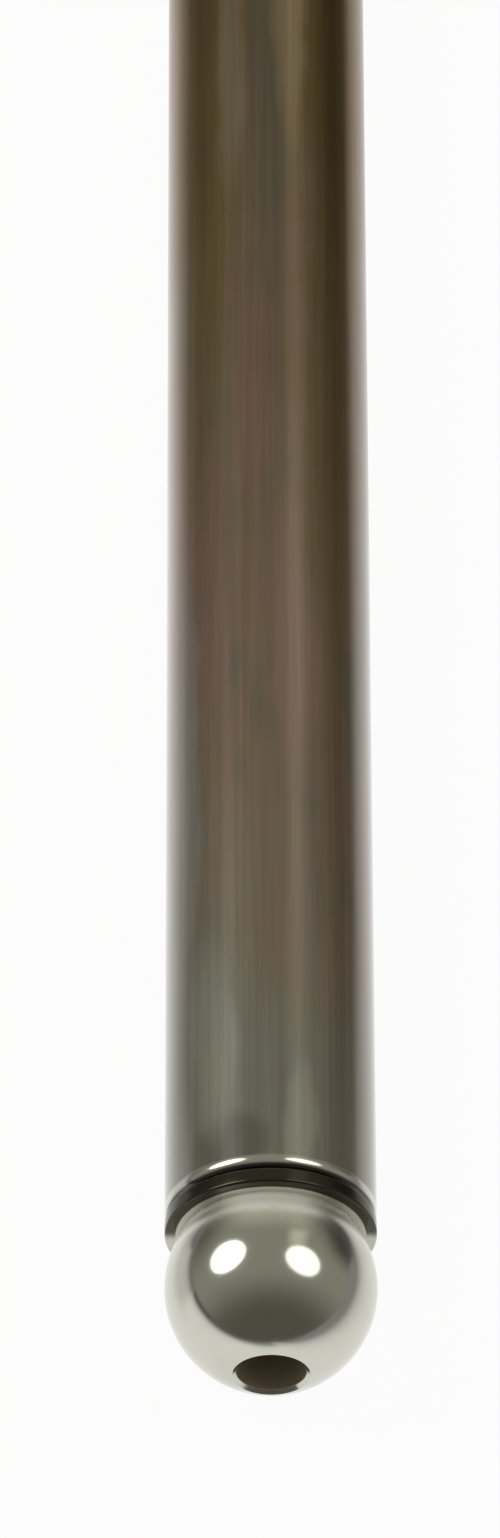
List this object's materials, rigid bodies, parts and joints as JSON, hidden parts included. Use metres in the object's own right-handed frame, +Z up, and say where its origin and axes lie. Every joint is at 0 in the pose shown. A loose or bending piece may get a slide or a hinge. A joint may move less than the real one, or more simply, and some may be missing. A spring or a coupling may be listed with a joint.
{
  "type": "engine pushrod",
  "caption": "Straight steel tube with a drilled ball tip pressed into each end, carrying valve lift and oil from a lifter to a rocker arm.",
  "frame": {"origin": "centre of the lifter-end ball", "axes": "+Y along the rod towards the rocker-end ball, +Z up as the rod lies on a flat surface"},
  "size_m": [0.008, 0.1975, 0.008],
  "materials": {
    "tube_steel": "satin drawn steel with a brown heat-treatment film, greyer near the balls",
    "ball_steel": "hardened steel, lapped to a mirror on the ball, black round the collar, dark in the oil hole"
  },
  "bodies": {
    "root": {"push_tube": "tube_steel", "lifter_ball_tip": "ball_steel", "rocker_ball_tip": "ball_steel"}
  },
  "joints": []
}
